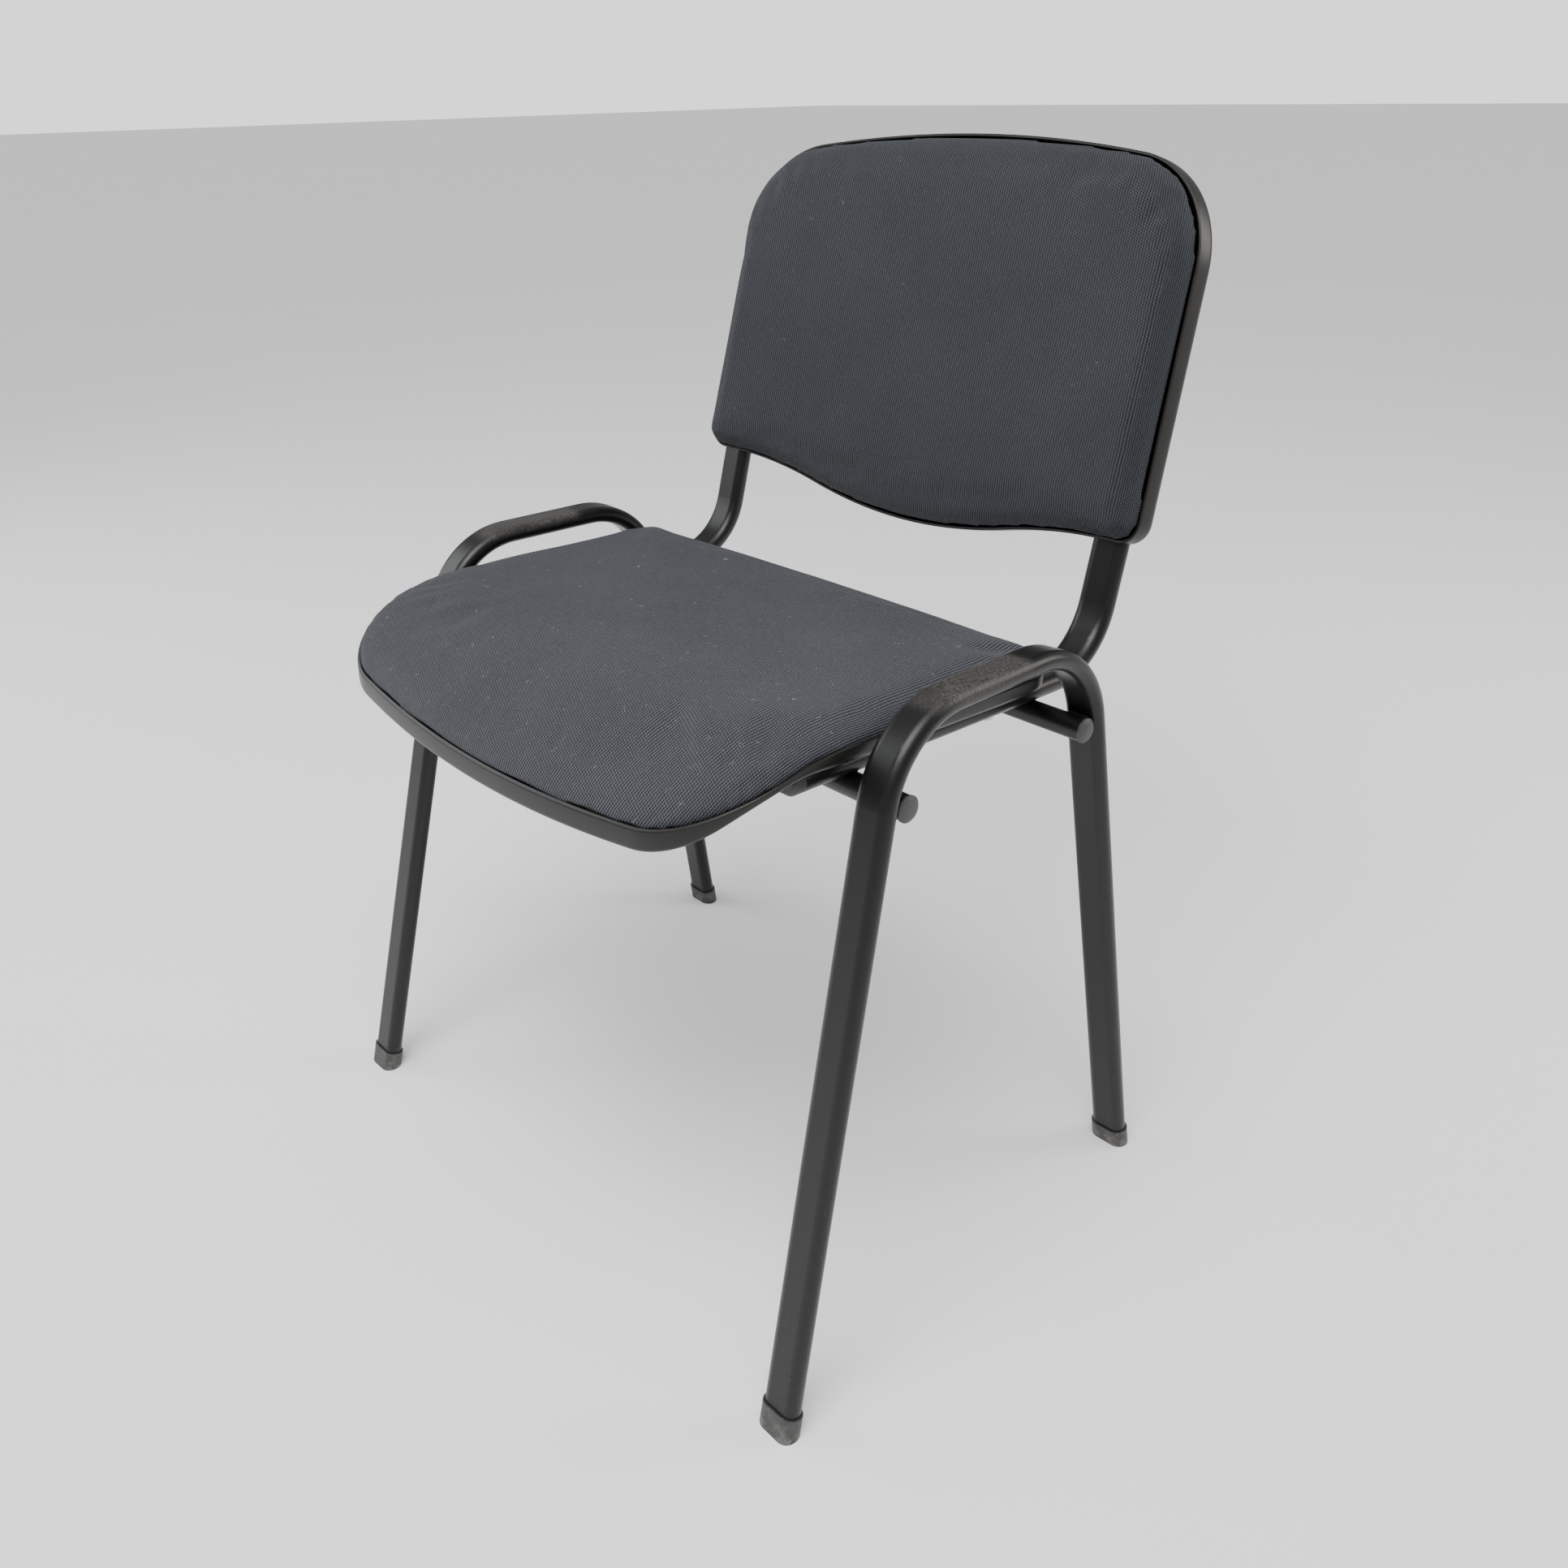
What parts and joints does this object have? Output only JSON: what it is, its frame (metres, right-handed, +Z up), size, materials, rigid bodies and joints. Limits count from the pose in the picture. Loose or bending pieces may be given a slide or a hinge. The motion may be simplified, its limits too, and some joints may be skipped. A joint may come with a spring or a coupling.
{
  "type": "stacking chair",
  "caption": "Armless stacking chair: bent oval-tube frame in black, cloth seat with a rounded front edge, and a curved cloth back in a plastic shell.",
  "frame": {"origin": "on the floor, under the middle of the chair's outer box", "axes": "+Z up, -Y the way the sitter faces, +X the sitter's left"},
  "size_m": [0.5882, 0.5526, 0.8175],
  "materials": {
    "frame_paint": "satin black powder coat, scuffed on the rails and legs",
    "foot_plastic": "worn black plastic with pale scratches and dust",
    "cap_plastic": "smooth dark grey plastic",
    "pan_plastic": "fine-grained black plastic",
    "plywood": "raw birch plywood",
    "foam": "open-cell polyurethane foam",
    "seat_cloth": "charcoal basket-weave cloth, lint on it",
    "back_cloth": "charcoal basket-weave cloth",
    "zinc_steel": "zinc-plated steel"
  },
  "bodies": {
    "root": {"side_frame_left": "frame_paint", "seat_back_support_left": "frame_paint", "foot_front_left": "foot_plastic", "foot_rear_left": "foot_plastic", "front_cross_tube_cap_left": "cap_plastic", "rear_cross_tube_cap_left": "cap_plastic", "support_plug_left": "cap_plastic", "side_frame_right": "frame_paint", "seat_back_support_right": "frame_paint", "foot_front_right": "foot_plastic", "foot_rear_right": "foot_plastic", "front_cross_tube_cap_right": "cap_plastic", "rear_cross_tube_cap_right": "cap_plastic", "support_plug_right": "cap_plastic", "front_cross_tube": "frame_paint", "rear_cross_tube": "frame_paint", "leg_weld_beads": "frame_paint", "support_weld_beads": "frame_paint", "seat_pan": "pan_plastic", "back_shell": "pan_plastic", "shell_clips": "pan_plastic", "seat_plywood": "plywood", "back_plywood": "plywood", "seat_foam": "foam", "back_foam": "foam", "seat_cover": "seat_cloth", "back_cover": "back_cloth", "seat_bolts": "zinc_steel", "seat_washers": "zinc_steel", "seat_t_nuts": "zinc_steel", "back_screws": "zinc_steel", "back_t_nuts": "zinc_steel"}
  },
  "joints": []
}
